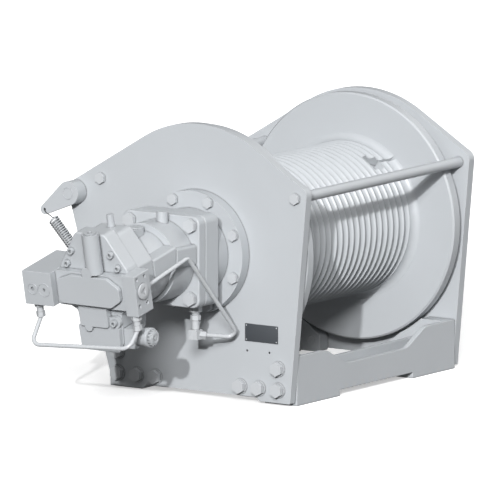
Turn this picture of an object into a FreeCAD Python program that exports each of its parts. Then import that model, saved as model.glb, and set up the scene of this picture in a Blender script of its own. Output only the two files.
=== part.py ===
import FreeCAD, Part
import math
import os

# A hydraulic winch with a bare grooved rope drum, in millimetres.
# +X runs along the drum's axis, away from the motor, and +Z is up.
# The open side of the drum, with the first base beam, faces -Y.
# The origin is the centre of the base bolt pattern, on the beams' bottom face.

os.makedirs("parts", exist_ok=True)
V = FreeCAD.Vector

# Frame
plate_gap = 674.0           # between the side plates
plate_t = 22.0
axis_z = 356.0              # drum axis above the mounting face
plate_top_r = 308.0         # the plates' top arc, about the drum axis
shoulder_deg = 31.0         # fall of the shoulders on both sides of that arc
front_reach = 316.0         # from the drum axis to the front shoulder
front_foot_y = 267.0
back_foot_y = 250.0
back_slope_deg = 16.0
foot_rise = 6.5             # plate feet above the mounting face
arch_rise = 9.0             # arch between the plate's feet above the feet
plate_foot_w = 89.0

# Base beams
beam_w = 94.0
beam_front_y = 273.0
beam_end_h = 120.0
beam_mid_h = 77.0
beam_end_l = 126.0          # full height at each end
beam_fall_l = 80.0          # length of the fall to the low middle
beam_ease = 60.0            # radius of that fall's two curves
beam_foot_l = 181.0
beam_relief = 15.0
beam_web = 12.0
beam_floor = 15.0
bracket_t = 36.0
bracket_reach = 80.0        # the end bracket beyond the beam, towards the middle
bracket_h = 112.0
bracket_end_h = 51.0
bracket_rise = 10.0         # the bracket's underside above the mounting face
flange_clear = 6.0          # between the drum flanges and the beams
mount_x = 260.0
mount_hole_r = 13.0

# Drum
land_r = 187.0
groove_pitch = 24.0
groove_count = 24
groove_r = 11.7
groove_land = 2.6
barrel_wall = 47.0          # lands to bore
flange_r = 302.0
flange_t = 27.0
near_gap = 4.0              # between the motor side plate and its drum flange
riser_l = 19.0
riser_r = 204.0
pocket_l = 75.0             # from the far flange
pocket_deg = 53.5           # above the front horizontal
pocket_w = 44.0             # round the barrel
pocket_end_w = 34.0         # along the barrel, where the rope goes in
pocket_slant = 27.0         # fall of its upper edge towards the flange, degrees
pocket_slit = 8.0
pocket_depth = 25.0
fit = 0.05                  # radial clearance of running fits

# Gearbox and drum bearings
hub_wall = 35.0             # drum hub, between the barrel's bore and the fixed hub
ring_bolt_out = 30.0        # bolt circle beyond the fixed hub
ring_rim = 14.0
ring_t = 30.0
hub_reach = 90.0            # into the drum, from the motor side flange's inner face
neck_step = 3.0             # neck over the hub's radius
neck_l = 43.0
adapter_half = 111.0
adapter_round = 20.0
adapter_t = 56.0
stub_r = 45.0
stub_collar_r = 72.0
stub_collar_l = 40.0
cover_r = 95.0
cover_t = 18.0
cover_bolt_r = 75.0

# Fasteners: across flats, head height, shank radius
m16 = (24.0, 10.0, 8.0)
m20 = (30.0, 12.5, 10.0)
hole_play = 0.5
washer_t = 3.0

# Tie rods
tie_r = 13.0
tie_y = 284.0
tie_up = 151.0              # above the drum axis

# Rope press: shaft, lever, arms, roller and spring
press_y = 356.0
press_up = 112.0
press_shaft_r = 15.0
lever_eye_r = 29.0
lever_tip_r = 12.0
lever_tip_y = 68.0
lever_tip_down = 45.0
lever_t = 12.0
lever_stand = 26.0          # boss between the plate and the lever
arm_l = 190.0
arm_t = 16.0
roller_r = 25.0
roller_l = 480.0
roller_pin_r = 10.0
body_gap = 0.3              # between pieces that move past each other
spring_r = 11.5
spring_wire_r = 2.0
spring_pitch = 5.4
spring_len = 170.0          # between the hook centres at rest
spring_slope_deg = 46.8
spring_pin_r = 5.0

# Motor
flange_half = 111.0
motor_flange_t = 28.0
motor_bolt_half = 88.4
front_r = 98.0
front_l = 80.0
rib_half = 104.0
rib_top = 44.0               # above the drum axis
rib_h = 48.0
breather_r = 14.0
motor_pitch_deg = 12.2      # the rear housing and the valves point down by this
motor_reach = 460.0         # valve cover's face, from the side plate
motor_drop = 37.0           # that face's centre, below the drum axis
rear_axis_w = -15.0

x_in = plate_gap / 2
x_out = x_in + plate_t
near_face = -x_in + near_gap + flange_t
barrel_bore_r = land_r - barrel_wall
hub_r = barrel_bore_r - hub_wall
neck_r = hub_r + neck_step
ring_bolt_r = hub_r + ring_bolt_out
ring_r = ring_bolt_r + ring_rim
far_face = near_face + groove_count * groove_pitch + riser_l


def at_x(x):
    return lambda a, b: V(x, a, b)


def at_y(y):
    return lambda a, b: V(a, y, b)


def at_z(z):
    return lambda a, b: V(a, b, z)


def outline(corners, put):
    """Face from corners (a, b, radius), rounded by arcs, placed by put(a, b)."""
    count = len(corners)
    turns = []
    for i, (a, b, r) in enumerate(corners):
        here = V(a, b, 0)
        back = V(*corners[i - 1][:2], 0) - here
        on = V(*corners[(i + 1) % count][:2], 0) - here
        back.normalize()
        on.normalize()
        if r == 0:
            turns.append((here, None, here))
            continue
        half = back.getAngle(on) / 2
        bisector = (back + on).normalize()
        reach = r / math.tan(half)
        middle = here + bisector * (r / math.sin(half) - r)
        turns.append((here + back * reach, middle, here + on * reach))
    edges = []
    for i, (start, middle, end) in enumerate(turns):
        if middle is not None:
            arc = [put(p.x, p.y) for p in (start, middle, end)]
            edges.append(Part.Arc(*arc).toShape())
        after = turns[(i + 1) % count][0]
        if (after - end).Length > 1e-6:
            edges.append(Part.makeLine(put(end.x, end.y), put(after.x, after.y)))
    return Part.Face(Part.Wire(edges))


def link(a, ra, b, rb, put):
    """Face round two circles of radius ra about a and rb about b."""
    base = math.atan2(b[1] - a[1], b[0] - a[0])
    side = math.acos((ra - rb) / math.hypot(b[0] - a[0], b[1] - a[1]))

    def rim(centre, r, angle):
        return put(centre[0] + r * math.cos(angle), centre[1] + r * math.sin(angle))

    a1, a2, a3 = rim(a, ra, base + side), rim(a, ra, base + math.pi), rim(a, ra, base - side)
    b1, b2, b3 = rim(b, rb, base - side), rim(b, rb, base), rim(b, rb, base + side)
    return Part.Face(Part.Wire([
        Part.Arc(a1, a2, a3).toShape(),
        Part.makeLine(a3, b1),
        Part.Arc(b1, b2, b3).toShape(),
        Part.makeLine(b3, a1),
    ]))


def rod_x(x0, x1, y, z, r):
    return Part.makeCylinder(r, x1 - x0, V(x0, y, z), V(1, 0, 0))


def turned(profile):
    """Solid turned about the drum axis from (x, radius) corners."""
    face = outline([(x, axis_z + r, 0) for x, r in profile], at_y(0))
    return face.revolve(V(0, 0, axis_z), V(1, 0, 0), 360)


def prism(place, out, across, length):
    """Hexagonal prism standing on place, along out."""
    r = across / math.sqrt(3)
    six = [(r * math.cos(math.radians(a)), r * math.sin(math.radians(a)), 0)
           for a in range(0, 360, 60)]
    head = outline(six, at_z(0)).extrude(V(0, 0, length))
    head.Placement = FreeCAD.Placement(place, FreeCAD.Rotation(V(0, 0, 1), out))
    return head


def bolt(place, out, size, grip, washer=0.0):
    """Hexagon bolt with its seat at place, its head along out and its shank behind."""
    across, head, r = size
    solid = prism(place + out * washer, out, across, head)
    solid = solid.fuse(Part.makeCylinder(r, grip + washer, place - out * grip, out))
    if washer:
        solid = solid.fuse(Part.makeCylinder(across * 0.62, washer, place, out))
    return solid.removeSplitter()


def eased(solid, r, *planes):
    """Solid with its edges in the planes x = value rounded."""
    edges = [e for e in solid.Edges for x in planes
             if abs(e.BoundBox.XMin - x) < 1e-3 and abs(e.BoundBox.XMax - x) < 1e-3]
    return solid.makeFillet(r, edges)


def holes(places, out, r, depth):
    """Drillings from above each place down to depth behind it."""
    return [Part.makeCylinder(r, depth + 1, p - out * depth, out) for p in places]


def circle_yz(x, r, count, start=0.0):
    """Places spaced round the drum axis."""
    turn = [math.radians(start + 360.0 * i / count) for i in range(count)]
    return [V(x, r * math.cos(a), axis_z + r * math.sin(a)) for a in turn]


def run(points, bends):
    """Wire through points, with its corners rounded by bends."""
    edges = []
    last = points[0]
    for i in range(1, len(points) - 1):
        here = points[i]
        back = (points[i - 1] - here).normalize()
        on = (points[i + 1] - here).normalize()
        half = back.getAngle(on) / 2
        r = bends[i - 1]
        reach = r / math.tan(half)
        middle = here + (back + on).normalize() * (r / math.sin(half) - r)
        start, end = here + back * reach, here + on * reach
        edges.append(Part.makeLine(last, start))
        edges.append(Part.Arc(start, middle, end).toShape())
        last = end
    edges.append(Part.makeLine(last, points[-1]))
    return Part.Wire(edges)


def tube(points, bends, r):
    path = run(points, bends)
    along = points[1] - points[0]
    section = Part.Wire(Part.makeCircle(r, points[0], along))
    return path.makePipeShell([section], True, False)


def save(shape, node):
    shape.exportStep("parts/" + node + ".step")


def save_all(shapes, node):
    save(Part.makeCompound(shapes), node)


# Side plates: an arc over the drum, sloping shoulders and a foot at each corner.
slope = math.tan(math.radians(shoulder_deg))
apex_z = axis_z + plate_top_r / math.cos(math.radians(shoulder_deg))
back_slope = math.tan(math.radians(back_slope_deg))
back_y = back_foot_y + (apex_z - foot_rise) * back_slope
back_y = back_y / (1 + slope * back_slope)
plate_corners = [
    (0, apex_z, plate_top_r),
    (-front_reach, apex_z - front_reach * slope, 22),
    (-front_foot_y, foot_rise, 3),
    (-front_foot_y + plate_foot_w, foot_rise, 0),
    (-front_foot_y + plate_foot_w + arch_rise, foot_rise + arch_rise, 0),
    (back_foot_y - plate_foot_w - arch_rise, foot_rise + arch_rise, 0),
    (back_foot_y - plate_foot_w, foot_rise, 0),
    (back_foot_y, foot_rise, 3),
    (back_y, apex_z - back_y * slope, 30),
]
press_z = axis_z + press_up
tie_z = axis_z + tie_up

base_low = 38.0
base_high = 90.0
base_y = (234.0, 178.0, 124.0)
base_places = [(s * y, base_low) for s in (-1, 1) for y in base_y]
base_places += [(s * base_y[0], base_high) for s in (-1, 1)]
tie_places = [(-tie_y, tie_z), (tie_y, tie_z)]


def side_plate(x0, bearing_r, bolt_places, bolt_r):
    """Side plate from x0 towards +X with its bearing bore and bolt holes."""
    plate = outline(plate_corners, at_x(x0)).extrude(V(plate_t, 0, 0))
    cuts = [rod_x(x0 - 1, x0 + plate_t + 1, 0, axis_z, bearing_r)]
    cuts.append(rod_x(x0 - 1, x0 + plate_t + 1, press_y, press_z, press_shaft_r + fit))
    for y, z in base_places:
        cuts.append(rod_x(x0 - 1, x0 + plate_t + 1, y, z, m20[2] + hole_play))
    for y, z in tie_places:
        cuts.append(rod_x(x0 - 1, x0 + plate_t + 1, y, z, m16[2] + hole_play))
    for p in bolt_places:
        cuts.append(rod_x(x0 - 1, x0 + plate_t + 1, p.y, p.z, bolt_r + hole_play))
    return plate.cut(cuts)


# Two small drillings below the nameplate's place take its earth strap.
small_hole_r = 3.0
small_holes = [(-142.6, axis_z - 229.5), (-207.3, axis_z - 229.5)]
ring_places = circle_yz(-x_out - ring_t, ring_bolt_r, 8, 22.5)
cover_places = circle_yz(x_out + cover_t, cover_bolt_r, 6)
motor_plate = side_plate(-x_out, hub_r + body_gap, ring_places, m16[2])
motor_plate = motor_plate.cut([rod_x(-x_out - 1, -x_out + 9, y, z, small_hole_r)
                               for y, z in small_holes])
save(motor_plate, "motor_side_plate")
save(side_plate(x_in, stub_r + body_gap, cover_places, m16[2]), "far_side_plate")


# Base beams: open channels with low middles, feet and a solid bracket at each end.
def base_beam(side):
    """Beam on the front (side -1) or the back (side 1) of the drum."""
    half = plate_gap / 2
    fall = half - beam_end_l
    low = fall - beam_fall_l
    foot = half - beam_foot_l
    elevation = [
        (-half, 0, 0), (-foot, 0, 0), (-foot, beam_relief, 0),
        (foot, beam_relief, 0), (foot, 0, 0), (half, 0, 0),
        (half, beam_end_h, 6), (fall, beam_end_h, beam_ease), (low, beam_mid_h, beam_ease),
        (-low, beam_mid_h, beam_ease), (-fall, beam_end_h, beam_ease), (-half, beam_end_h, 6),
    ]
    outer = side * beam_front_y
    inner = side * (beam_front_y - beam_w)
    solid = outline(elevation, at_y(min(outer, inner))).extrude(V(0, beam_w, 0))
    pocket = Part.makeBox(plate_gap - 2 * bracket_t, beam_w - 2 * beam_web, beam_end_h)
    pocket.translate(V(-half + bracket_t, min(outer, inner) + beam_web,
                       beam_relief + beam_floor))
    # The wall on the drum's side stays low from bracket to bracket.
    low_wall = Part.makeBox(plate_gap - 2 * bracket_t, 2 * beam_web, beam_end_h)
    low_wall.translate(V(-half + bracket_t, inner - beam_web, beam_mid_h))
    solid = solid.cut([pocket, low_wall])
    reach = side * (beam_front_y - beam_w - bracket_reach)
    shape = [(inner, bracket_rise, 0), (reach, bracket_rise, 6),
             (reach, bracket_end_h, 10), (inner, bracket_h, 0)]
    for x0 in (-half, half - bracket_t):
        solid = solid.fuse(outline(shape, at_x(x0)).extrude(V(bracket_t, 0, 0)))
    mid_y = side * (beam_front_y - beam_w / 2)
    cuts = [Part.makeCylinder(mount_hole_r, beam_relief + beam_floor + 2,
                              V(x, mid_y, -1)) for x in (-mount_x, mount_x)]
    for y, z in base_places:
        if y * side > 0:
            cuts.append(rod_x(-half - 1, -half + bracket_t + 1, y, z, m20[2] + hole_play))
            cuts.append(rod_x(half - bracket_t - 1, half + 1, y, z, m20[2] + hole_play))
    # The inner edges are cut back to clear the drum flanges.
    cuts.append(rod_x(-half - 1, half + 1, 0, axis_z, flange_r + flange_clear))
    return solid.cut(cuts).removeSplitter()


save(base_beam(-1), "front_base_beam")
save(base_beam(1), "rear_base_beam")

base_bolts = []
for y, z in base_places:
    base_bolts.append(bolt(V(-x_out, y, z), V(-1, 0, 0), m20, plate_t + bracket_t, washer_t))
    base_bolts.append(bolt(V(x_out, y, z), V(1, 0, 0), m20, plate_t + bracket_t, washer_t))
save_all(base_bolts, "base_bolts")

# Tie rods between the plates, each tapped for a bolt at both ends.
tap_depth = 30.0
tie_rods = []
tie_bolts = []
for y, z in tie_places:
    rod = rod_x(-x_in, x_in, y, z, tie_r)
    taps = [rod_x(-x_in - 1, -x_in + tap_depth, y, z, m16[2] + hole_play)]
    taps.append(rod_x(x_in - tap_depth, x_in + 1, y, z, m16[2] + hole_play))
    tie_rods.append(rod.cut(taps))
    grip = plate_t + tap_depth - 2
    tie_bolts.append(bolt(V(-x_out, y, z), V(-1, 0, 0), m16, grip))
    tie_bolts.append(bolt(V(x_out, y, z), V(1, 0, 0), m16, grip))
save(tie_rods[0], "front_tie_rod")
save(tie_rods[1], "rear_tie_rod")
save_all(tie_bolts, "tie_rod_bolts")


# Drum barrel: rope grooves with narrow lands, a riser at the far flange and a rope pocket.
def drum_barrel():
    edges = []
    last = V(near_face, 0, axis_z + barrel_bore_r)
    first = last

    def line_to(x, r):
        nonlocal last
        after = V(x, 0, axis_z + r)
        edges.append(Part.makeLine(last, after))
        last = after

    def arc_to(x, r, xm, rm):
        nonlocal last
        after = V(x, 0, axis_z + r)
        edges.append(Part.Arc(last, V(xm, 0, axis_z + rm), after).toShape())
        last = after

    half = (groove_pitch - groove_land) / 2
    depth = groove_r - math.sqrt(groove_r ** 2 - half ** 2)
    line_to(near_face, land_r)
    for i in range(groove_count):
        middle = near_face + (i + 0.5) * groove_pitch
        line_to(middle - half, land_r)
        arc_to(middle + half, land_r, middle, land_r - depth)
    start = far_face - riser_l
    line_to(start, land_r)
    bow = 0.7
    arc_to(far_face, riser_r, start + riser_l * bow, land_r + (riser_r - land_r) * (1 - bow))
    line_to(far_face, barrel_bore_r)
    edges.append(Part.makeLine(last, first))
    barrel = Part.Face(Part.Wire(edges)).revolve(V(0, 0, axis_z), V(1, 0, 0), 360)
    fall = math.tan(math.radians(pocket_slant))
    top = pocket_w / 2 + pocket_end_w * fall / 2
    left, right = far_face - pocket_l, far_face + 1
    turn = left + pocket_end_w
    shape = [
        (left, top, 4), (right, top - (right - left) * fall, 0),
        (right, top - (right - left) * fall - pocket_slit, 0),
        (turn, top - pocket_end_w * fall - pocket_slit, 5),
        (turn, -pocket_w / 2, 4), (left, -pocket_w / 2, 8),
    ]
    pocket = outline(shape, at_z(land_r - pocket_depth)).extrude(V(0, 0, 2 * pocket_depth))
    pocket.rotate(V(0, 0, 0), V(1, 0, 0), 90 - pocket_deg)
    pocket.translate(V(0, 0, axis_z))
    return barrel.cut(pocket)


save(drum_barrel(), "drum_barrel")

# Drum flanges on the barrel's ends, and the hubs that turn on the bearing seats.
def drum_flange(face, side):
    """Flange disc with its bevelled rim at face, standing away from the rope."""
    back = face + side * flange_t
    return turned([(back, barrel_bore_r), (back, flange_r), (face + side * rim, flange_r),
                   (face, flange_r - rim), (face, barrel_bore_r)])


rim = 4.0
hub_out_r = barrel_bore_r - fit
save(drum_flange(near_face, -1), "drum_flange_motor_side")
save(drum_flange(far_face, 1), "drum_flange_far_side")
save(turned([
    (near_face - flange_t, hub_r + fit), (near_face - flange_t, hub_out_r),
    (near_face + hub_reach - 20, hub_out_r), (near_face + hub_reach - 20, hub_r + fit),
]), "drum_hub_motor_side")
save(turned([
    (far_face + flange_t, stub_r + fit), (far_face + flange_t, hub_out_r),
    (far_face, hub_out_r), (far_face, stub_collar_r),
    (far_face - stub_collar_l, stub_collar_r), (far_face - stub_collar_l, stub_r + fit),
]), "drum_hub_far_side")

# Gearbox: ring flange on the plate with the fixed hub that carries the drum.
hub = turned([
    (-x_out - ring_t, 0),
    (-x_out - ring_t, ring_r),
    (-x_out, ring_r),
    (-x_out, hub_r),
    (near_face + hub_reach, hub_r),
    (near_face + hub_reach, 0),
])
west = V(-1, 0, 0)
east = V(1, 0, 0)
save(hub.cut(holes(ring_places, west, m16[2] + hole_play, ring_t + 1)), "gearbox_hub")
save_all([bolt(p, west, m16, ring_t + plate_t) for p in ring_places], "ring_bolts")

# Far bearing: stub axle with its round cover, bolted to the outside of the far plate.
stub = turned([
    (x_out + cover_t, 0),
    (x_out + cover_t, cover_r),
    (x_out, cover_r),
    (x_out, stub_r),
    (far_face - stub_collar_l - 4, stub_r),
    (far_face - stub_collar_l - 4, 0),
])
save(stub.cut(holes(cover_places, east, m16[2] + hole_play, cover_t + 1)), "far_stub_axle")
save_all([bolt(p, east, m16, cover_t + plate_t) for p in cover_places], "cover_bolts")


def square(half, r, x):
    return outline([(-half, axis_z - half, r), (half, axis_z - half, r),
                    (half, axis_z + half, r), (-half, axis_z + half, r)], at_x(x))


# Neck and square adapter between the gearbox and the motor.
neck_x = -x_out - ring_t - neck_l
flange_x = neck_x - adapter_t
motor_x = flange_x - motor_flange_t
neck = rod_x(neck_x, -x_out - ring_t, 0, axis_z, neck_r)
adapter = square(adapter_half, adapter_round, flange_x).extrude(V(adapter_t, 0, 0))
neck = neck.fuse(eased(adapter, 5, flange_x, neck_x))
motor_places = [V(motor_x, sy * motor_bolt_half, axis_z + sz * motor_bolt_half)
                for sy in (-1, 1) for sz in (-1, 1)]
motor_grip = motor_flange_t + 40
neck = neck.cut(holes(motor_places, west, m20[2] + hole_play, motor_grip + 1))
save(neck.removeSplitter(), "gearbox_neck")

# Motor front housing: square flange and round body, with a long rib on each side.
body_x = motor_x - front_l
front = square(flange_half, adapter_round, motor_x).extrude(V(motor_flange_t, 0, 0))
front = eased(front, 3.5, motor_x, flange_x)
front = front.fuse(rod_x(body_x, motor_x, 0, axis_z, front_r))
front = front.fuse(outline([
    (-rib_half, axis_z + rib_top - rib_h, 4), (rib_half, axis_z + rib_top - rib_h, 4),
    (rib_half, axis_z + rib_top, 6), (-rib_half, axis_z + rib_top, 6),
], at_x(body_x)).extrude(V(front_l, 0, 0)))
breather = V(motor_x - 23, -20, axis_z + front_r - 12)
front = front.fuse(Part.makeCylinder(breather_r, 35, breather))
front = front.cut(holes(motor_places, west, m20[2] + hole_play, motor_flange_t + 1))
for p in motor_places:
    room = Part.makeCylinder(20, front_l, V(motor_x - front_l, p.y, p.z), V(1, 0, 0))
    front = front.cut(room)
save(front.removeSplitter(), "motor_front_housing")
save_all([bolt(p, west, m20, motor_grip) for p in motor_places], "motor_bolts")

# The rear of the motor points down. Its pieces are drawn level, with x running
# from the valve cover's face towards the drum, and are then tilted into place.
rear_place = FreeCAD.Placement(V(-x_out - motor_reach, 0, axis_z - motor_drop),
                               FreeCAD.Rotation(V(0, 1, 0), -motor_pitch_deg))


def tilted(shape):
    turned_shape = shape.copy()
    turned_shape.Placement = rear_place.multiply(shape.Placement)
    return turned_shape


def block(x0, x1, corners):
    return outline(corners, at_x(x0)).extrude(V(x1 - x0, 0, 0))


cap_u = 33.0
cap_back_u = 75.0
mid_back_u = 140.0
valve_cover_t = 12.0
half_v = 100.0
body_low_w = -46.0


def cylinder_w(u, v, w0, w1, r):
    return Part.makeCylinder(r, w1 - w0, V(u, v, w0))


def cylinder_u(u0, u1, v, w, r):
    return Part.makeCylinder(r, u1 - u0, V(u0, v, w), V(1, 0, 0))


# Valve cover and body, with a spool lobe standing through both.
lobe = (0.0, 44.0, 15.0)
cover = block(0, valve_cover_t, [
    (-89, 12, 12), (-54, 35, 16), (52, 35, 16), (89, 22, 12),
    (89, -38, 14), (-60, -39, 16), (-89, -20, 12)])
cover = eased(cover.fuse(cylinder_u(0, valve_cover_t, *lobe)).removeSplitter(), 1.5, 0)
save(tilted(cover), "valve_cover")
valve = block(valve_cover_t, cap_u, [
    (-half_v, 40, 5), (half_v, 40, 5), (half_v, body_low_w, 8), (-half_v, body_low_w, 8)])
valve = valve.fuse(cylinder_u(valve_cover_t, cap_u, *lobe)).removeSplitter()
save(tilted(valve), "valve_body")

# End cap: a six-sided casting with the control cylinder standing on its face.
cap_top = 134.0
cap_outline = [
    (-43, cap_top, 16), (43, cap_top, 16), (95, 52, 10), (half_v, 36, 6), (half_v, -46, 8),
    (64, -66, 8), (58, -150, 12), (-58, -150, 12), (-64, -66, 8), (-half_v, -46, 8),
    (-half_v, 36, 6), (-95, 52, 10)]
cylinder_r = 21.0
cylinder_place = (20.0, -12.0)
end_cap = eased(block(cap_u, cap_back_u, cap_outline), 4, cap_u)
end_cap = end_cap.fuse(cylinder_w(*cylinder_place, 40, cap_top + 6, cylinder_r))
bore_plug = cylinder_w(*cylinder_place, cap_top - 4, cap_top + 9, 15)
end_cap = end_cap.cut([cylinder_u(-2, cap_u, *lobe), bore_plug])
bore_plug = bore_plug.cut(prism(V(*cylinder_place, cap_top + 4), V(0, 0, 1), 12, 6))
save(tilted(bore_plug), "bore_plug")

# Four socket screws hold the cap. Their heads stand on its face.
m10 = (16.0, 10.0, 5.0)
screw_hex = 8.0
screws = []
for v, w in ((57.6, 86.5), (73.4, 54.0)):
    for side in (-1, 1):
        head = cylinder_u(cap_u - m10[1], cap_u, side * v, w, m10[0] / 2)
        head = head.fuse(cylinder_u(cap_u, cap_u + 25, side * v, w, m10[2]))
        socket = prism(V(cap_u - m10[1] - 1, side * v, w), V(1, 0, 0), screw_hex, 6)
        screws.append(head.cut(socket).removeSplitter())
        end_cap = end_cap.cut(cylinder_u(cap_u - 1, cap_u + 25, side * v, w,
                                         m10[2] + hole_play))
save_all([tilted(screw) for screw in screws], "cap_screws")
save(tilted(end_cap), "motor_end_cap")

# Rear housing: a second, smaller layer and the round body that runs into the front one.
middle = block(cap_back_u, mid_back_u, [
    (-44, 120, 20), (44, 120, 20), (96, 40, 10), (96, -40, 12), (60, -66, 12),
    (52, -140, 16), (-52, -140, 16), (-60, -66, 12), (-96, -40, 12), (-96, 40, 10)])
rear_r = 83.0
rear_round = cylinder_u(mid_back_u, mid_back_u + 170, 0, rear_axis_w, rear_r)
post = Part.makeCone(10, 8, 36, V(mid_back_u - 16, 0, 115))
rear_rib_w = 38.0
rib = block(mid_back_u, mid_back_u + 120, [
    (-half_v, rear_rib_w - rib_h, 4), (half_v, rear_rib_w - rib_h, 4),
    (half_v, rear_rib_w, 6), (-half_v, rear_rib_w, 6)])
rear = tilted(middle.fuse([rear_round, post, rib]))
behind = Part.makeBox(motor_reach, 4 * half_v, 4 * half_v,
                      V(body_x, -2 * half_v, axis_z - 2 * half_v))
# A drain port's round boss stands on top of it, with a flat lug behind.
boss_r, boss_h = 20.0, 45.0
boss_foot = V(body_x - boss_r - 6, 0, axis_z + front_r - 5 - boss_h)
boss = Part.makeCylinder(boss_r, boss_h, boss_foot)
boss = boss.fuse(Part.makeBox(boss_r * 1.9, 2 * boss_r, boss_h - 3,
                              boss_foot - V(boss_r * 1.9, boss_r, 0)))
rear = rear.cut(behind).fuse(boss)
save(rear.removeSplitter(), "motor_rear_housing")

# Port blocks on both sides of the valve body, closed by plugs.
left_front, left_back = -10, 136
left_out = half_v + 82
left_block = eased(block(left_front, left_back, [
    (half_v, 39, 2), (left_out, 39, 2), (left_out, body_low_w, 2), (half_v, body_low_w, 2),
]), 1, left_front, left_back)
right_in, right_out = -half_v - 4, -half_v - 39
right_low_w = -54.0
right_block = eased(block(0, 63, [
    (right_in, 48, 2), (right_out, 48, 2), (right_out, right_low_w, 2), (right_in, right_low_w, 2),
]), 1, 0, 63)
right_block = right_block.fuse(block(12, 60, [
    (-half_v, 34, 0), (right_in, 34, 0), (right_in, -40, 0), (-half_v, -40, 0)]))
plug_seat = 3.0
plugs = []
for v, r, across in ((156.8, 12.5, 10.0), (123.4, 15.6, 8.0)):
    seat = cylinder_u(left_front - 1, left_front + plug_seat + 8, v, -5.8, r)
    plug = cylinder_u(left_front, left_front + plug_seat + 8, v, -5.8, r)
    left_block = left_block.cut(seat)
    plugs.append(plug.cut(prism(V(left_front - 1, v, -5.8), V(1, 0, 0), across, 6)))
save(tilted(left_block), "left_port_block")

# The right block's side port is plugged, with its four flange screw holes left open.
sae_u, sae_w = 27.0, 3.5
sae_half = (15.9, 33.35)
side_way = V(0, 1, 0)
side_plug = Part.makeCylinder(17, 12, V(sae_u, right_out, sae_w), side_way)
right_block = right_block.cut(Part.makeCylinder(17, 13, V(sae_u, right_out - 1, sae_w), side_way))
plugs.append(side_plug.cut(prism(V(sae_u, right_out - 1, sae_w), side_way, 14, 7)))
for du in (-sae_half[0], sae_half[0]):
    for dw in (-sae_half[1], sae_half[1]):
        hole = Part.makeCylinder(5.2, 19, V(sae_u + du, right_out - 1, sae_w + dw), side_way)
        right_block = right_block.cut(hole)
save(tilted(right_block.removeSplitter()), "right_port_block")
save_all([tilted(plug) for plug in plugs], "port_plugs")

# Lower valve body: a raised upper plate over a wider lower one, with a screwed ear.
lower = block(15, cap_u, [(-34, body_low_w - 1, 0), (47, body_low_w - 1, 0), (47, -97, 6),
                          (-34, -97, 6)])
lower = lower.fuse(cylinder_u(15, cap_u, 24, -99, 11))
lower = lower.fuse(block(22, cap_u, [(-60, -97, 4), (58, -97, 4), (56, -160, 8), (-56, -160, 8)]))
ear = (-50.0, -84.0)
lower = lower.fuse(cylinder_u(22, cap_u, *ear, 15))
lower = lower.fuse(block(22, cap_u, [(ear[0], -100, 0), (-30, -100, 0), (-30, -72, 0),
                                     (ear[0], -72, 0)]))
lower = lower.cut(cylinder_u(15, cap_u + 1, *ear, m10[2] + hole_play))
save(tilted(lower.removeSplitter()), "lower_valve_body")
ear_screw = cylinder_u(22 - m10[1], 22, *ear, m10[0] / 2).fuse(cylinder_u(22, cap_u, *ear, m10[2]))
ear_screw = ear_screw.cut(prism(V(22 - m10[1] - 1, *ear), V(1, 0, 0), screw_hex, 6))
save(tilted(ear_screw.removeSplitter()), "ear_screw")

# Solenoid across the bottom of the end cap, with its notched ring nut and hand button.
sol_u = 60.0
sol_w = -128.0
sol_way = V(0, -1, 0)
sol_half, sol_h, sol_r = 22.0, 50.0, 22.0
sol_v, sol_l = -90.0, 22.0
sol_body = Part.makeBox(2 * sol_half, 2 * sol_half, sol_h, V(sol_u - sol_half, sol_v, sol_w - sol_h / 2))
save(tilted(sol_body.cut([end_cap, middle])), "solenoid_block")
solenoid = Part.makeCylinder(sol_r, sol_l, V(sol_u, sol_v, sol_w), sol_way)
save(tilted(solenoid), "solenoid")
nut_v, nut_l, nut_r = sol_v - sol_l, 22.0, 24.0
button_r = 5.0
nut = Part.makeCylinder(nut_r, nut_l, V(sol_u, nut_v, sol_w), sol_way)
for i in range(8):
    notch = Part.makeBox(7, 9, 5, V(sol_u - 3.5, nut_v - nut_l - 0.5, sol_w + nut_r - 3))
    notch.rotate(V(sol_u, nut_v, sol_w), sol_way, 45.0 * i)
    nut = nut.cut(notch)
nut = nut.cut(Part.makeCylinder(button_r + body_gap, 8, V(sol_u, nut_v - nut_l + 7.5, sol_w), sol_way))
save(tilted(nut), "solenoid_nut")
button = Part.makeCylinder(button_r, 5, V(sol_u, nut_v - nut_l + 3.5, sol_w), sol_way)
save(tilted(button), "override_button")

# Rope press: the shaft and what turns with it.
shaft_x0 = -x_out - lever_stand - lever_t
collar_l = 14.0
shaft = rod_x(shaft_x0, x_out + body_gap + collar_l, press_y, press_z, press_shaft_r)
shaft = shaft.fuse(rod_x(x_out + body_gap, x_out + body_gap + collar_l,
                         press_y, press_z, press_shaft_r + 9))
save(shaft.removeSplitter(), "press_shaft")

tip = (press_y + lever_tip_y, press_z - lever_tip_down)
lever = link((press_y, press_z), lever_eye_r, tip, lever_tip_r, at_x(shaft_x0))
lever = lever.extrude(V(lever_t, 0, 0))
lever = lever.fuse(rod_x(shaft_x0, -x_out - body_gap, press_y, press_z, lever_eye_r))
lever = lever.cut(rod_x(shaft_x0 - 1, -x_out + 1, press_y, press_z, press_shaft_r))
lever = lever.cut(rod_x(shaft_x0 - 1, shaft_x0 + lever_t + 1, tip[0], tip[1], 3.5))
save(lever.removeSplitter(), "spring_lever")

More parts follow.
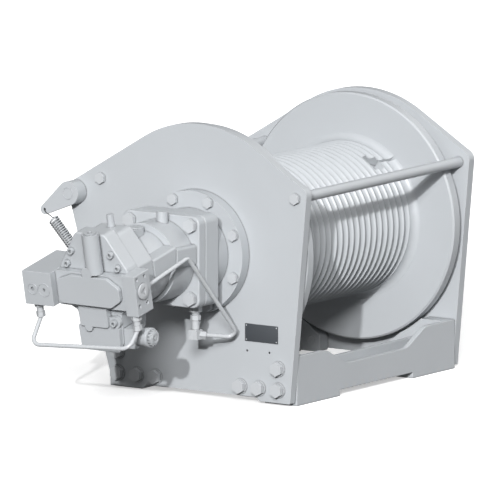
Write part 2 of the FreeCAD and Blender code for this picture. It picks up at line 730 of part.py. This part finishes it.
# The roller rests on the bare barrel, at the arm's length from the shaft.
rest_r = land_r + roller_r + body_gap
press_d = math.hypot(press_y, press_up)
between = math.acos((rest_r ** 2 + press_d ** 2 - arm_l ** 2) / (2 * rest_r * press_d))
roller_angle = math.atan2(press_up, press_y) - between
roller_y = rest_r * math.cos(roller_angle)
roller_z = axis_z + rest_r * math.sin(roller_angle)
roller_mid = (near_face + far_face) / 2
arms = []
for side in (-1, 1):
    inner = roller_mid + side * (roller_l / 2 + body_gap)
    x0 = min(inner, inner + side * arm_t)
    arm = link((press_y, press_z), lever_eye_r, (roller_y, roller_z), 20, at_x(x0))
    arm = arm.extrude(V(arm_t, 0, 0))
    arm = arm.cut(rod_x(x0 - 1, x0 + arm_t + 1, press_y, press_z, press_shaft_r))
    arm = arm.cut(rod_x(x0 - 1, x0 + arm_t + 1, roller_y, roller_z, roller_pin_r))
    arms.append(arm)
save_all(arms, "press_arms")
pin_reach = roller_l / 2 + body_gap + arm_t
save(rod_x(roller_mid - pin_reach, roller_mid + pin_reach, roller_y, roller_z, roller_pin_r),
     "roller_pin")
roller = rod_x(roller_mid - roller_l / 2, roller_mid + roller_l / 2, roller_y, roller_z, roller_r)
save(roller.cut(rod_x(roller_mid - roller_l, roller_mid + roller_l, roller_y, roller_z,
                      roller_pin_r + fit)), "press_roller")

# Extension spring from the lever's tip down to a pin in the motor side plate.
spring_x = shaft_x0 + lever_t / 2
down = math.radians(spring_slope_deg)
spring_dir = V(0, -math.cos(down), -math.sin(down))
top_hook = V(spring_x, tip[0], tip[1])
anchor = top_hook + spring_dir * spring_len
anchor_pin = rod_x(spring_x - 8, -x_out, anchor.y, anchor.z, spring_pin_r)
save(anchor_pin, "spring_anchor")
hook_l = 32.0
turns = round((spring_len - 2 * hook_l) / spring_pitch)
coil_l = turns * spring_pitch
hook_l = (spring_len - coil_l) / 2
helix = Part.makeHelix(spring_pitch, coil_l, spring_r)
wire = Part.Wire(Part.makeCircle(spring_wire_r, V(spring_r, 0, 0), V(0, 1, 0)))
coil = Part.Wire(helix).makePipeShell([wire], True, True)
ends = []
for z0, way in ((0, -1), (coil_l, 1)):
    corner = V(0, 0, z0 + way * 5)
    ends.append(tube([V(spring_r, 0, z0), corner, corner + V(0, 0, way * 5)], [4], spring_wire_r))
    ends.append(Part.makeSphere(spring_wire_r, V(spring_r, 0, z0)))
coil = coil.fuse(ends)
spin = FreeCAD.Rotation(V(0, 0, 1), spring_dir)
coil.Placement = FreeCAD.Placement(top_hook + spring_dir * hook_l, spin)

# The upper hook goes round the lever's face and into its hole; the lower one is a ring.
aside = V(-(lever_t / 2 + spring_wire_r + 0.6), 0, 0)
upper = tube([top_hook + spring_dir * (hook_l - 10), top_hook + spring_dir * (hook_l - 16) + aside,
              top_hook + aside, top_hook - aside], [5, 3], spring_wire_r)
ring_hook_r = spring_pin_r + spring_wire_r + body_gap
lower_hook = Part.makeTorus(ring_hook_r, spring_wire_r, anchor, V(1, 0, 0))
stem_end = anchor - spring_dir * ring_hook_r
stem_l = hook_l - ring_hook_r - 10
stem = Part.makeCylinder(spring_wire_r, stem_l, stem_end, spring_dir * -1)
joint_ball = Part.makeSphere(spring_wire_r, top_hook + spring_dir * (hook_l - 10))
save(coil.fuse([upper, joint_ball, stem, lower_hook]), "extension_spring")

# Pilot tube hanging below both port blocks, with its unions.
tube_r = 5.0
left_end = V(15, 160, body_low_w)
right_end = V(14, -121, right_low_w)
down_w = V(0, 0, -1)
union_l = 38.0
union_hex = 22.0
tube_points = [left_end + down_w * union_l, V(-39, 160, -137), V(-31, -121, -124),
               right_end + down_w * union_l]
pilot = tube(tube_points, [22, 22], tube_r)
save(tilted(pilot), "pilot_tube")
unions = []
for end in (left_end, right_end):
    stub_hex = prism(end, down_w, union_hex, union_l / 3)
    collar = Part.makeCylinder(union_hex * 0.39, union_l / 3, end + down_w * (union_l / 3), down_w)
    nut = prism(end + down_w * (2 * union_l / 3), down_w, union_hex - 3, union_l / 3)
    unions.append(tilted(stub_hex.fuse([collar, nut]).cut(pilot)))
save_all(unions, "pilot_unions")

# Drain tube from the right port block over to the underside of the adapter.
drain_v, drain_w = -120.0, 6.0
drain_drop = 197.0
drain_start = rear_place.multVec(V(63, drain_v, drain_w - 9))
drain_apex = rear_place.multVec(V(250, drain_v, drain_w))
drain_low = V(-x_out - 15, drain_v - 12, axis_z - drain_drop)
elbow = V((neck_x + flange_x) / 2, drain_v / 2 - 2, axis_z - drain_drop + 13)
elbow_half = 12.0
drain = tube([drain_start, drain_apex, drain_low, elbow + (drain_low - elbow) * 0.16],
             [16, 16], tube_r)
drain = drain.cut(tilted(right_block))
save(drain, "drain_tube")
elbow_top = axis_z - adapter_half
riser = Part.makeCylinder(9, elbow_top - elbow.z, elbow)
riser = riser.fuse(Part.makeBox(2 * elbow_half, 2 * elbow_half, 2 * elbow_half,
                                elbow - V(elbow_half, elbow_half, elbow_half)))
riser = riser.fuse(prism(V(elbow.x, elbow.y, elbow_top), V(0, 0, -1), 27, 18))
riser = riser.fuse(prism(V(elbow.x, elbow.y, elbow_top - 26), V(0, 0, -1), 22, 12))
outward = (drain_low - elbow).normalize()
riser = riser.fuse(prism(elbow, outward, 19, elbow_half + 12))
riser = riser.cut(drain)
save(riser.removeSplitter(), "drain_elbow")
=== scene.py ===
import math

import bpy
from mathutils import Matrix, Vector


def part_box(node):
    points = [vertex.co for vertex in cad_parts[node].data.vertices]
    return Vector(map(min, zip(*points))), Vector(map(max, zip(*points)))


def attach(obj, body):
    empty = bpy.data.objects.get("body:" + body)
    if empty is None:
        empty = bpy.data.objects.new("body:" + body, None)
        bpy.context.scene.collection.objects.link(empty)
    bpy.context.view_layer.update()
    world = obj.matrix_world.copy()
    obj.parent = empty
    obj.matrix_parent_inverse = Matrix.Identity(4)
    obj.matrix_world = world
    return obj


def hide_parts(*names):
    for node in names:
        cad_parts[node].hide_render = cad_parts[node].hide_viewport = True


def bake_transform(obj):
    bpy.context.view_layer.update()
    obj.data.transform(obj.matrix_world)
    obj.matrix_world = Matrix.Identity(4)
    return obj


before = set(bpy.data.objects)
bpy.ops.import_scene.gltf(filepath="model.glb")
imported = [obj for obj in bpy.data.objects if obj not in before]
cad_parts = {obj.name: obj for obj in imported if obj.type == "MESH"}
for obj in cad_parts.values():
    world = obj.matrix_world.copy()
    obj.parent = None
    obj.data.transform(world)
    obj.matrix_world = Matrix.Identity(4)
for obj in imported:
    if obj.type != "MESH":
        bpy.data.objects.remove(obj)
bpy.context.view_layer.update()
bpy.ops.object.select_all(action="DESELECT")


# Side plates: 22 mm steel plates, flame cut and drilled, that stand on the base beams and
# carry the drum between them. Their light grey spray paint lies evenly, with a faint
# orange peel and slightly rubbed on the edges, and it has painted shade where pieces meet.
def socket(group, way, name, kind, value=None):
    made = group.interface.new_socket(name, in_out=way, socket_type=kind)
    if value is not None:
        made.default_value = value


def link(tree, out_socket, in_socket):
    tree.links.new(out_socket, in_socket)


def shader_node(tree, kind, values):
    """New shader node, with values set on its named inputs."""
    made = tree.nodes.new(kind)
    for name, value in values.items():
        made.inputs[name].default_value = value
    return made


def times(tree, a, b):
    """Product of two numbers."""
    made = tree.nodes.new("ShaderNodeMath")
    made.operation = "MULTIPLY"
    link(tree, a, made.inputs[0])
    link(tree, b, made.inputs[1])
    return made.outputs["Value"]


def ranged(tree, value, limits):
    """Number carried over to other limits."""
    made = shader_node(tree, "ShaderNodeMapRange", limits)
    link(tree, value, made.inputs["Value"])
    return made.outputs["Result"]


def spray_coat_and_shade():
    """Shared paint effect: tone drift, painted shade in corners, rubbed edges and orange peel.
    """
    group = bpy.data.node_groups.new("spray_coat_and_shade", "ShaderNodeTree")
    socket(group, "INPUT", "Paint", "NodeSocketColor", (0.6, 0.6, 0.6, 1))
    socket(group, "INPUT", "Worn", "NodeSocketColor", (0.7, 0.7, 0.7, 1))
    socket(group, "INPUT", "Peel Scale", "NodeSocketFloat", 900.0)
    socket(group, "INPUT", "Peel Depth", "NodeSocketFloat", 0.1)
    socket(group, "INPUT", "Edge Radius", "NodeSocketFloat", 0.0015)
    socket(group, "INPUT", "Roughness", "NodeSocketFloat", 0.45)
    socket(group, "OUTPUT", "Color", "NodeSocketColor")
    socket(group, "OUTPUT", "Roughness", "NodeSocketFloat")
    socket(group, "OUTPUT", "Normal", "NodeSocketVector")
    enter = group.nodes.new("NodeGroupInput")
    leave = group.nodes.new("NodeGroupOutput")
    place = group.nodes.new("ShaderNodeTexCoord")

    # Tone: it drifts over the surface, and painted shade darkens it in corners.
    drift = shader_node(group, "ShaderNodeTexNoise", {"Scale": 7.0, "Detail": 4.0})
    link(group, place.outputs["Object"], drift.inputs["Vector"])
    tone = ranged(group, drift.outputs["Fac"], {"To Min": 0.965, "To Max": 1.035})
    # Painted shade: an occlusion mask darkens the paint's colour in corners and between parts.
    shade_occlusion = shader_node(group, "ShaderNodeAmbientOcclusion", {"Distance": 0.006})
    shade_occlusion.samples = 8
    painted_corner_shade = ranged(group, shade_occlusion.outputs["AO"],
                  {"From Min": 0.25, "From Max": 0.85, "To Min": 0.22})
    shade = group.nodes.new("ShaderNodeVectorMath")
    shade.operation = "SCALE"
    link(group, enter.outputs["Paint"], shade.inputs[0])
    link(group, times(group, tone, painted_corner_shade), shade.inputs["Scale"])

    # Rubbed edges: where the rounded normal leaves the flat one, in patches.
    soft = group.nodes.new("ShaderNodeBevel")
    soft.samples = 6
    link(group, enter.outputs["Edge Radius"], soft.inputs["Radius"])
    flat = group.nodes.new("ShaderNodeNewGeometry")
    match = group.nodes.new("ShaderNodeVectorMath")
    match.operation = "DOT_PRODUCT"
    link(group, soft.outputs["Normal"], match.inputs[0])
    link(group, flat.outputs["Normal"], match.inputs[1])
    edge = ranged(group, match.outputs["Value"], {"From Min": 0.995, "From Max": 0.85})
    rub = shader_node(group, "ShaderNodeTexNoise", {"Scale": 60.0, "Detail": 3.0})
    link(group, place.outputs["Object"], rub.inputs["Vector"])
    patchy = ranged(group, rub.outputs["Fac"], {"From Min": 0.35, "From Max": 0.6})
    mix = group.nodes.new("ShaderNodeMix")
    mix.data_type = "RGBA"
    link(group, times(group, edge, patchy), mix.inputs["Factor"])
    link(group, shade.outputs["Vector"], mix.inputs["A"])
    link(group, enter.outputs["Worn"], mix.inputs["B"])
    link(group, mix.outputs["Result"], leave.inputs["Color"])

    # Gloss varies with the rubbing, and a fine bump gives the orange peel.
    gloss = ranged(group, rub.outputs["Fac"], {"To Min": 0.85, "To Max": 1.15})
    link(group, times(group, gloss, enter.outputs["Roughness"]), leave.inputs["Roughness"])
    peel = shader_node(group, "ShaderNodeTexNoise", {"Detail": 2.0})
    link(group, enter.outputs["Peel Scale"], peel.inputs["Scale"])
    link(group, place.outputs["Object"], peel.inputs["Vector"])
    bump = shader_node(group, "ShaderNodeBump", {"Distance": 0.0006})
    link(group, enter.outputs["Peel Depth"], bump.inputs["Strength"])
    link(group, peel.outputs["Fac"], bump.inputs["Height"])
    link(group, soft.outputs["Normal"], bump.inputs["Normal"])
    link(group, bump.outputs["Normal"], leave.inputs["Normal"])
    return group


coat_and_shade_group = spray_coat_and_shade()
grey = (0.435, 0.455, 0.475, 1)
rubbed = (0.53, 0.545, 0.56, 1)


def painted(name, paint, worn, peel_scale, peel_depth, edge, roughness):
    made = bpy.data.materials.new(name)
    made.use_nodes = True
    tree = made.node_tree
    shader = tree.nodes["Principled BSDF"]
    coat = tree.nodes.new("ShaderNodeGroup")
    coat.node_tree = coat_and_shade_group
    values = {"Paint": paint, "Worn": worn, "Peel Scale": peel_scale, "Peel Depth": peel_depth,
              "Edge Radius": edge, "Roughness": roughness}
    for socket_name, value in values.items():
        coat.inputs[socket_name].default_value = value
    link(tree, coat.outputs["Color"], shader.inputs["Base Color"])
    link(tree, coat.outputs["Roughness"], shader.inputs["Roughness"])
    link(tree, coat.outputs["Normal"], shader.inputs["Normal"])
    return made


def spray(material, *nodes):
    for node in nodes:
        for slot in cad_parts[node].material_slots:
            slot.material = material


plate_paint = painted("plate_paint", grey, rubbed, peel_scale=700.0, peel_depth=0.08,
                      edge=0.0009, roughness=0.48)
spray(plate_paint, "motor_side_plate", "far_side_plate")

# Base beams: open cast channels under the drum's front and back, with feet below and end
# brackets that are bolted to the side plates. Their as-cast skin is coarser than a plate's.
beam_paint = painted("beam_paint", grey, rubbed, peel_scale=420.0, peel_depth=0.22,
                     edge=0.0025, roughness=0.5)
spray(beam_paint, "front_base_beam", "rear_base_beam")

# Bolts: steel hexagon heads that hold the beams, the tie rods, the gearbox's ring, the
# motor and the far axle's cover. They are painted over with the frame.
bolt_paint = painted("bolt_paint", paint=(0.47, 0.487, 0.505, 1), worn=(0.56, 0.57, 0.58, 1),
                     peel_scale=1200.0, peel_depth=0.06, edge=0.0003, roughness=0.3)
spray(bolt_paint, "base_bolts", "tie_rod_bolts", "ring_bolts", "cover_bolts", "motor_bolts")

# Tie rods, hubs and the far axle: turned steel under a smooth coat. The rods are bolted
# between the side plates, the gearbox's hub and the axle stand in the plates' bores.
turned_paint = painted("turned_paint", grey, rubbed, peel_scale=900.0, peel_depth=0.05,
                       edge=0.001, roughness=0.42)
spray(turned_paint, "front_tie_rod", "rear_tie_rod", "gearbox_hub", "far_stub_axle",
      "gearbox_neck", "drum_hub_motor_side", "drum_hub_far_side")

# Drum: a steel barrel, turned with a groove for each turn of the rope, between two flange
# discs. It runs on the gearbox's hub at the motor and on the stub axle at the far side.
drum_paint = painted("drum_paint", grey, rubbed, peel_scale=800.0, peel_depth=0.06,
                     edge=0.00015, roughness=0.4)
spray(drum_paint, "drum_barrel", "drum_flange_motor_side", "drum_flange_far_side")

# Hydraulic motor and valves: iron castings, screwed together at machined joint faces and
# bolted to the gearbox's neck. The cast skin shows through the grey paint.
cast_paint = painted("cast_paint", grey, rubbed, peel_scale=300.0, peel_depth=0.22,
                     edge=0.0009, roughness=0.36)
spray(cast_paint, "motor_front_housing", "motor_rear_housing", "motor_end_cap",
      "valve_cover", "valve_body", "left_port_block", "right_port_block",
      "lower_valve_body", "solenoid_block", "solenoid", "solenoid_nut", "override_button",
      "bore_plug", "port_plugs", "cap_screws", "ear_screw")

# Tubes: smooth drawn steel with hexagon unions. The pilot tube joins both port blocks
# below the valves, and the drain tube leads from the right block to an elbow that hangs
# under the gearbox's neck.
tube_paint = painted("tube_paint", paint=(0.50, 0.517, 0.535, 1), worn=(0.58, 0.59, 0.60, 1),
                     peel_scale=600.0, peel_depth=0.03, edge=0.0004, roughness=0.27)
spray(tube_paint, "pilot_tube", "pilot_unions", "drain_tube", "drain_elbow")

# Rope press: a shaft across the winch's back that turns in the side plates. Its arms hold
# a roller against the rope, and a lever outside the motor side plate takes the spring.
spray(plate_paint, "press_arms", "spring_lever")
spray(turned_paint, "press_shaft", "press_roller", "roller_pin", "spring_anchor",
      "extension_spring")

# Nameplate: a thin bare slate-grey plate on the motor side plate, held by four rivets.
# It is stamped sheet with softened edges, and its face is left blank.
plate_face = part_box("motor_side_plate")[0].x
name_low, name_high = Vector((0, -0.2325, 0.1497)), Vector((0, -0.1368, 0.1925))
name_t, name_edge = 0.0012, 0.0004
rivet_r, rivet_in, rivet_flat = 0.0016, 0.0042, 0.6
crease = math.radians(35)


def only(objs):
    bpy.ops.object.select_all(action="DESELECT")
    for o in objs:
        o.select_set(True)
    bpy.context.view_layer.objects.active = objs[0]


def apply_place(o):
    only([o])
    bpy.ops.object.transform_apply(location=True, rotation=True, scale=True)


def rounded(o, width):
    only([o])
    bevel = o.modifiers.new("soft_edges", "BEVEL")
    bevel.width = width
    bevel.segments = 2
    bevel.limit_method = "ANGLE"
    bevel.angle_limit = crease
    bpy.ops.object.modifier_apply(modifier=bevel.name)
    bpy.ops.object.shade_smooth_by_angle(angle=crease)


def joined(objs, name):
    only(objs)
    bpy.ops.object.join()
    bpy.context.object.name = name
    return bpy.context.object


middle_yz = (name_low + name_high) / 2
size_yz = name_high - name_low
name_middle = (plate_face - name_t / 2, middle_yz.y, middle_yz.z)
bpy.ops.mesh.primitive_cube_add(size=1, location=name_middle)
nameplate = bpy.context.object
nameplate.name = "nameplate"
nameplate.scale = (name_t, size_yz.y, size_yz.z)
apply_place(nameplate)
rounded(nameplate, name_edge)
slate = painted("slate_plate", paint=(0.060, 0.066, 0.074, 1), worn=(0.11, 0.115, 0.12, 1),
                peel_scale=500.0, peel_depth=0.05, edge=0.0004, roughness=0.42)
nameplate.data.materials.append(slate)
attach(nameplate, "root")

rivets = []
for y in (name_low.y + rivet_in, name_high.y - rivet_in):
    for z in (name_low.z + rivet_in, name_high.z - rivet_in):
        bpy.ops.mesh.primitive_uv_sphere_add(segments=16, ring_count=10, radius=rivet_r,
                                             location=(plate_face - name_t, y, z))
        rivets.append(bpy.context.object)
        bpy.context.object.scale = (rivet_flat, 1, 1)
rivet_heads = joined(rivets, "nameplate_rivets")
apply_place(rivet_heads)
bpy.ops.object.shade_smooth()
rivet_heads.data.materials.append(bolt_paint)
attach(rivet_heads, "root")

# Extension spring: round steel wire, wound into a coil and bent into a hook at each end.
# One hangs in the lever's tip, the other round a pin in the side plate, and the coil
# stretches as the rope press swings out.
pin_at = Vector((-0.391, 0.3076, 0.2991))
tip_at = Vector((-0.391, 0.4240, 0.4230))
spring_l = (tip_at - pin_at).length
wire_r, coil_r, coil_turns, coil_pitch = 0.0021, 0.0115, 18, 0.0060
steps_a_turn = 28
coil_low = (spring_l - coil_turns * coil_pitch) / 2
coil_high = spring_l - coil_low
eye_r, bend_r = 0.0074, 0.004
# The upper hook's lean: its bends' radius, its straight run, and the centre of the bend
# that brings it upright again, before its tip.
lean_r, lean_run, upright_x, upright_up, tip_run = 0.006, 0.0051, -0.00262, 0.01358, 0.015
quarter, eighth = math.pi / 2, math.pi / 4
bend_axis = (0, 1, 0)
wire_paint = painted("wire_paint", paint=(0.36, 0.375, 0.39, 1), worn=grey,
                     peel_scale=900.0, peel_depth=0.03, edge=0.0001, roughness=0.35)


def wire_start(at):
    """Circle across the wire, where it leaves the coil."""
    bpy.ops.mesh.primitive_circle_add(vertices=12, radius=wire_r, location=at,
                                      rotation=(quarter, 0, 0))
    apply_place(bpy.context.object)
    return bpy.context.object


def hook(at, moves):
    """Wire drawn out of its start by straight runs and bends in turn."""
    wire = wire_start(at)
    bpy.ops.object.mode_set(mode="EDIT")
    bpy.ops.mesh.select_all(action="SELECT")
    for move in moves:
        if isinstance(move, Vector):
            bpy.ops.mesh.extrude_region_move(TRANSFORM_OT_translate={"value": move})
        else:
            angle, centre = move
            bpy.ops.mesh.spin(steps=10, angle=angle, center=centre, axis=bend_axis)
    bpy.ops.object.mode_set(mode="OBJECT")
    close_wire(wire)
    return wire


def close_wire(wire):
    only([wire])
    bpy.ops.object.mode_set(mode="EDIT")
    bpy.ops.mesh.select_all(action="SELECT")
    bpy.ops.mesh.remove_doubles(threshold=0.00005)
    bpy.ops.mesh.fill_holes(sides=0)
    bpy.ops.mesh.normals_make_consistent(inside=False)
    bpy.ops.object.mode_set(mode="OBJECT")
    bpy.ops.object.shade_smooth_by_angle(angle=math.radians(50))


coil = wire_start((coil_r, 0, coil_low))
winding = coil.modifiers.new("winding", "SCREW")
winding.angle = math.tau * coil_turns
winding.screw_offset = coil_turns * coil_pitch
winding.steps = winding.render_steps = steps_a_turn * coil_turns
only([coil])
bpy.ops.object.modifier_apply(modifier=winding.name)
close_wire(coil)

# Each hook leaves the coil's side, crosses to its axis and runs along it. The lower one
# ends at its eye. The upper one leans aside first, so that its tip hooks in from there.
inward = Vector((2 * bend_r - coil_r, 0, 0))
low_z = coil_low - 2 * bend_r
low_hook = hook((coil_r, 0, coil_low), [
    (-quarter, (coil_r - bend_r, 0, coil_low)),
    inward,
    (quarter, (bend_r, 0, low_z)),
    Vector((0, 0, eye_r - low_z))])
lean_z = coil_high + 2 * bend_r
upright_z = lean_z + upright_up
bend_z = spring_l - bend_r
high_hook = hook((coil_r, 0, coil_high), [
    (quarter, (coil_r - bend_r, 0, coil_high)),
    inward,
    (-quarter, (bend_r, 0, lean_z)),
    (eighth, (-lean_r, 0, lean_z)),
    Vector((-lean_run, 0, lean_run)),
    (-eighth, (upright_x, 0, upright_z)),
    Vector((0, 0, bend_z - upright_z)),
    (-quarter, (upright_x - lean_r + bend_r, 0, bend_z)),
    Vector((tip_run, 0, 0))])
bpy.ops.mesh.primitive_torus_add(major_radius=eye_r, minor_radius=wire_r, major_segments=32,
                                 minor_segments=12, rotation=(0, quarter, 0))
pin_eye = bpy.context.object
apply_place(pin_eye)
bpy.ops.object.shade_smooth()
press_spring = joined([coil, low_hook, high_hook, pin_eye], "press_spring")
stretch = (tip_at - pin_at).normalized()
press_spring.rotation_euler = (-math.atan2(stretch.y, stretch.z), 0, 0)
press_spring.location = pin_at
apply_place(press_spring)
press_spring.data.materials.append(wire_paint)
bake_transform(press_spring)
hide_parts("extension_spring")

# Port plugs: screwed into the left port block, each on a round sealing rim that stands a
# little over the machined face. The rope press's shaft ends in a like rim on the lever.
motor_tilt = math.radians(12.2)
motor_at = Vector((-0.819, 0, 0.319))
along_u = Vector((math.cos(motor_tilt), 0, math.sin(motor_tilt)))
along_w = Vector((-math.sin(motor_tilt), 0, math.cos(motor_tilt)))
rim_half = 0.0012
plug_u, plug_w = -10, -5.8
plug_rims = (("plug_rim_a", 156.8, 0.0134), ("plug_rim_b", 123.4, 0.0164))
shaft_rim_r = 0.0140


def motor_point(u, v, w):
    """Place in the tilted motor group, from its own millimetres."""
    return motor_at + (along_u * u + Vector((0, 1, 0)) * v + along_w * w) / 1000


def face_rim(name, at, facing, radius, body, paint):
    """Thin round rim half sunk into a flat face."""
    bpy.ops.mesh.primitive_torus_add(major_radius=radius, minor_radius=rim_half,
                                     major_segments=48, minor_segments=10, location=at)
    rim = bpy.context.object
    rim.name = name
    rim.rotation_euler = facing.to_track_quat("Z", "Y").to_euler()
    apply_place(rim)
    bpy.ops.object.shade_smooth()
    rim.data.materials.append(paint)
    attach(rim, body)


for rim_name, plug_v, rim_r in plug_rims:
    face_rim(rim_name, motor_point(plug_u, plug_v, plug_w), along_u, rim_r,
             "root", cast_paint)
lever_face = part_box("spring_lever")[0].x
shaft_yz = (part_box("press_shaft")[0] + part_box("press_shaft")[1]) / 2
face_rim("shaft_rim", (lever_face, shaft_yz.y, shaft_yz.z), Vector((1, 0, 0)), shaft_rim_r,
         "rope_press", plate_paint)

# Port cap: a turned steel cap over the plug in the right block's side port, with a
# three-sided recess for its key. It stands 5 mm off the block, between four screw holes.
cap_face_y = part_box("right_port_block")[0].y
cap_at = motor_point(27, 0, 3.5)
cap_r, cap_h, cap_edge = 0.0195, 0.005, 0.0006
key_r, key_depth, key_turn = 0.0125, 0.0036, 0.4
sunk = 0.001


def disc(middle, radius, y_near, y_far, corners=64, turn=0):
    """Round or many-sided disc that faces the front, between two places along Y."""
    bpy.ops.mesh.primitive_cylinder_add(
        vertices=corners, radius=radius, depth=y_far - y_near,
        location=(middle.x, (y_near + y_far) / 2, middle.z), rotation=(quarter, turn, 0))
    made = bpy.context.object
    apply_place(made)
    return made


def cut_out(piece, tool):
    """Take the tool's shape out of the piece."""
    only([piece])
    cut = piece.modifiers.new("cut", "BOOLEAN")
    cut.operation = "DIFFERENCE"
    cut.object = tool
    bpy.ops.object.modifier_apply(modifier=cut.name)
    bpy.data.objects.remove(tool)


cap_front = cap_face_y - cap_h
port_cap = disc(cap_at, cap_r, cap_front, cap_face_y + sunk)
port_cap.name = "port_cap"
cut_out(port_cap, disc(cap_at, key_r, cap_front - key_depth, cap_front + key_depth,
                       corners=3, turn=key_turn))
rounded(port_cap, cap_edge)
port_cap.data.materials.append(bolt_paint)
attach(port_cap, "root")

# Solenoid nut: a moulded nut that is turned by hand and clamps the coil on the valve. Its
# base is round, its crown has ribs all round for the fingers and a rim on its face, and
# the override button slides in its middle.
nut_low, nut_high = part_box("solenoid_nut")
nut_mid = (nut_low + nut_high) / 2
nut_l = nut_high.y - nut_low.y
base_r, base_share, crown_r = (nut_high.z - nut_low.z) / 2, 0.56, 0.0172
rib_count, rib_w, rib_h = 14, 0.0034, 0.0030
rib_sunk, rib_in_base, rib_short = 0.0004, 0.0002, 0.0012
bore_r, bore_l, bore_over = 0.0056, 0.0085, 0.002
nut_rim_r, nut_rim_half, nut_edge = 0.0115, 0.0011, 0.0005

nut_split = nut_high.y - nut_l * base_share
hand_nut = disc(nut_mid, base_r, nut_split, nut_high.y)
crown = disc(nut_mid, crown_r, nut_low.y, nut_split + sunk)
cut_out(crown, disc(nut_mid, bore_r, nut_low.y - bore_over, nut_low.y + bore_l))
rib_l = nut_split - nut_low.y - rib_short
rib_out = crown_r + rib_h / 2 - rib_sunk
ribs = []
for i in range(rib_count):
    turn = math.tau * i / rib_count
    bpy.ops.mesh.primitive_cube_add(size=1, rotation=(0, -turn, 0), location=(
        nut_mid.x + rib_out * math.cos(turn), nut_split - rib_l / 2 + rib_in_base,
        nut_mid.z + rib_out * math.sin(turn)))
    ribs.append(bpy.context.object)
    bpy.context.object.scale = (rib_h, rib_l, rib_w)
crown_ribs = joined(ribs, "crown_ribs")
apply_place(crown_ribs)
bpy.ops.mesh.primitive_torus_add(major_radius=nut_rim_r, minor_radius=nut_rim_half,
                                 major_segments=48, minor_segments=10,
                                 location=(nut_mid.x, nut_low.y, nut_mid.z),
                                 rotation=(quarter, 0, 0))
crown_rim = bpy.context.object
apply_place(crown_rim)
hand_nut = joined([hand_nut, crown, crown_ribs, crown_rim], "hand_nut")
rounded(hand_nut, nut_edge)
hand_nut.data.materials.append(cast_paint)
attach(hand_nut, "root")
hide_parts("solenoid_nut")

# Studio: a pale floor that stays white. A crisp key and a softer one beside it shine from
# the left front, a little above the winch, with broad fills from the left and the right.
bpy.ops.mesh.primitive_plane_add(size=40, location=(0, 0, 0))
floor = bpy.context.object
floor.name = "studio_floor"
floor_paint = bpy.data.materials.new("floor_white")
floor_paint.use_nodes = True
tree = floor_paint.node_tree
shader = tree.nodes["Principled BSDF"]
shader.inputs["Roughness"].default_value = 0.95
shader.inputs["Specular IOR Level"].default_value = 0.0
shader.inputs["Emission Color"].default_value = (1, 1, 1, 1)
camera_sees = tree.nodes.new("ShaderNodeLightPath").outputs["Is Camera Ray"]
glow = ranged(tree, camera_sees, {"To Min": 0.1, "To Max": 0.45})
link(tree, glow, shader.inputs["Emission Strength"])
shade = tree.nodes.new("ShaderNodeMix")
shade.data_type = "RGBA"
shade.inputs["A"].default_value = (0.03, 0.03, 0.031, 1)
shade.inputs["B"].default_value = (0.9, 0.9, 0.9, 1)
link(tree, camera_sees, shade.inputs["Factor"])
link(tree, shade.outputs["Result"], shader.inputs["Base Color"])
floor.data.materials.append(floor_paint)

# The sky lights the winch faintly, a little more from above, and shows white to the camera.
world = bpy.data.worlds.new("studio")
bpy.context.scene.world = world
world.use_nodes = True
tree = world.node_tree
sky = tree.nodes["Background"]
place = tree.nodes.new("ShaderNodeTexCoord")
parts = tree.nodes.new("ShaderNodeSeparateXYZ")
link(tree, place.outputs["Generated"], parts.inputs["Vector"])
height = ranged(tree, parts.outputs["Z"],
                {"From Min": -0.05, "From Max": 0.85, "To Min": 0.05, "To Max": 0.10})
link(tree, height, sky.inputs["Strength"])
sky.inputs["Color"].default_value = (0.97, 0.985, 1.0, 1)
white = shader_node(tree, "ShaderNodeBackground", {"Color": (1, 1, 1, 1)})
path = tree.nodes.new("ShaderNodeLightPath")
seen = tree.nodes.new("ShaderNodeMath")
seen.operation = "MAXIMUM"
link(tree, path.outputs["Is Camera Ray"], seen.inputs[0])
link(tree, path.outputs["Is Transmission Ray"], seen.inputs[1])
choose = tree.nodes.new("ShaderNodeMixShader")
link(tree, seen.outputs["Value"], choose.inputs["Fac"])
link(tree, sky.outputs["Background"], choose.inputs[1])
link(tree, white.outputs["Background"], choose.inputs[2])
link(tree, choose.outputs["Shader"], tree.nodes["World Output"].inputs["Surface"])

lamp_away = 5


def lamp(name, azimuth, elevation, power, width):
    """Distant lamp, placed by its angles and soft by its apparent width, all in degrees."""
    light = bpy.data.lights.new(name, "SUN")
    light.energy = power
    light.angle = math.radians(width)
    holder = bpy.data.objects.new(name, light)
    bpy.context.collection.objects.link(holder)
    a, e = math.radians(azimuth), math.radians(elevation)
    towards = Vector((math.sin(a) * math.cos(e), -math.cos(a) * math.cos(e), math.sin(e)))
    holder.location = towards * lamp_away
    holder.rotation_euler = towards.to_track_quat("Z", "Y").to_euler()


lamp("key", azimuth=-66.0, elevation=19.2, power=2.3, width=1.0)
lamp("soft_key", azimuth=-57.0, elevation=24.6, power=2.1, width=12.0)
lamp("left_fill", azimuth=-66.0, elevation=22.0, power=0.42, width=110.0)
lamp("right_fill", azimuth=60.0, elevation=35.0, power=1.25, width=70.0)
lamp("overhead", azimuth=-60.0, elevation=75.0, power=0.45, width=50.0)

# Camera: at the photograph's angle, from the left front and a little above. It stands far
# away with a very long lens, since the photograph has next to no perspective.
look_at = Vector((-0.2883, -0.1020, 0.3574))
azimuth, elevation = math.radians(-55.4), math.radians(9.13)
back = Vector((math.sin(azimuth) * math.cos(elevation),
               -math.cos(azimuth) * math.cos(elevation), math.sin(elevation)))
lens, sensor, frame_width = 1500.0, 36.0, 1.2
eye = bpy.data.cameras.new("photo_view")
eye.lens = lens
eye.sensor_width = sensor
eye.clip_start, eye.clip_end = 1.0, 200.0
camera = bpy.data.objects.new("photo_view", eye)
bpy.context.collection.objects.link(camera)
camera.location = look_at + back * (frame_width * lens / sensor)
camera.rotation_euler = back.to_track_quat("Z", "Y").to_euler()
bpy.context.scene.camera = camera
bpy.context.scene.view_settings.view_transform = "Standard"
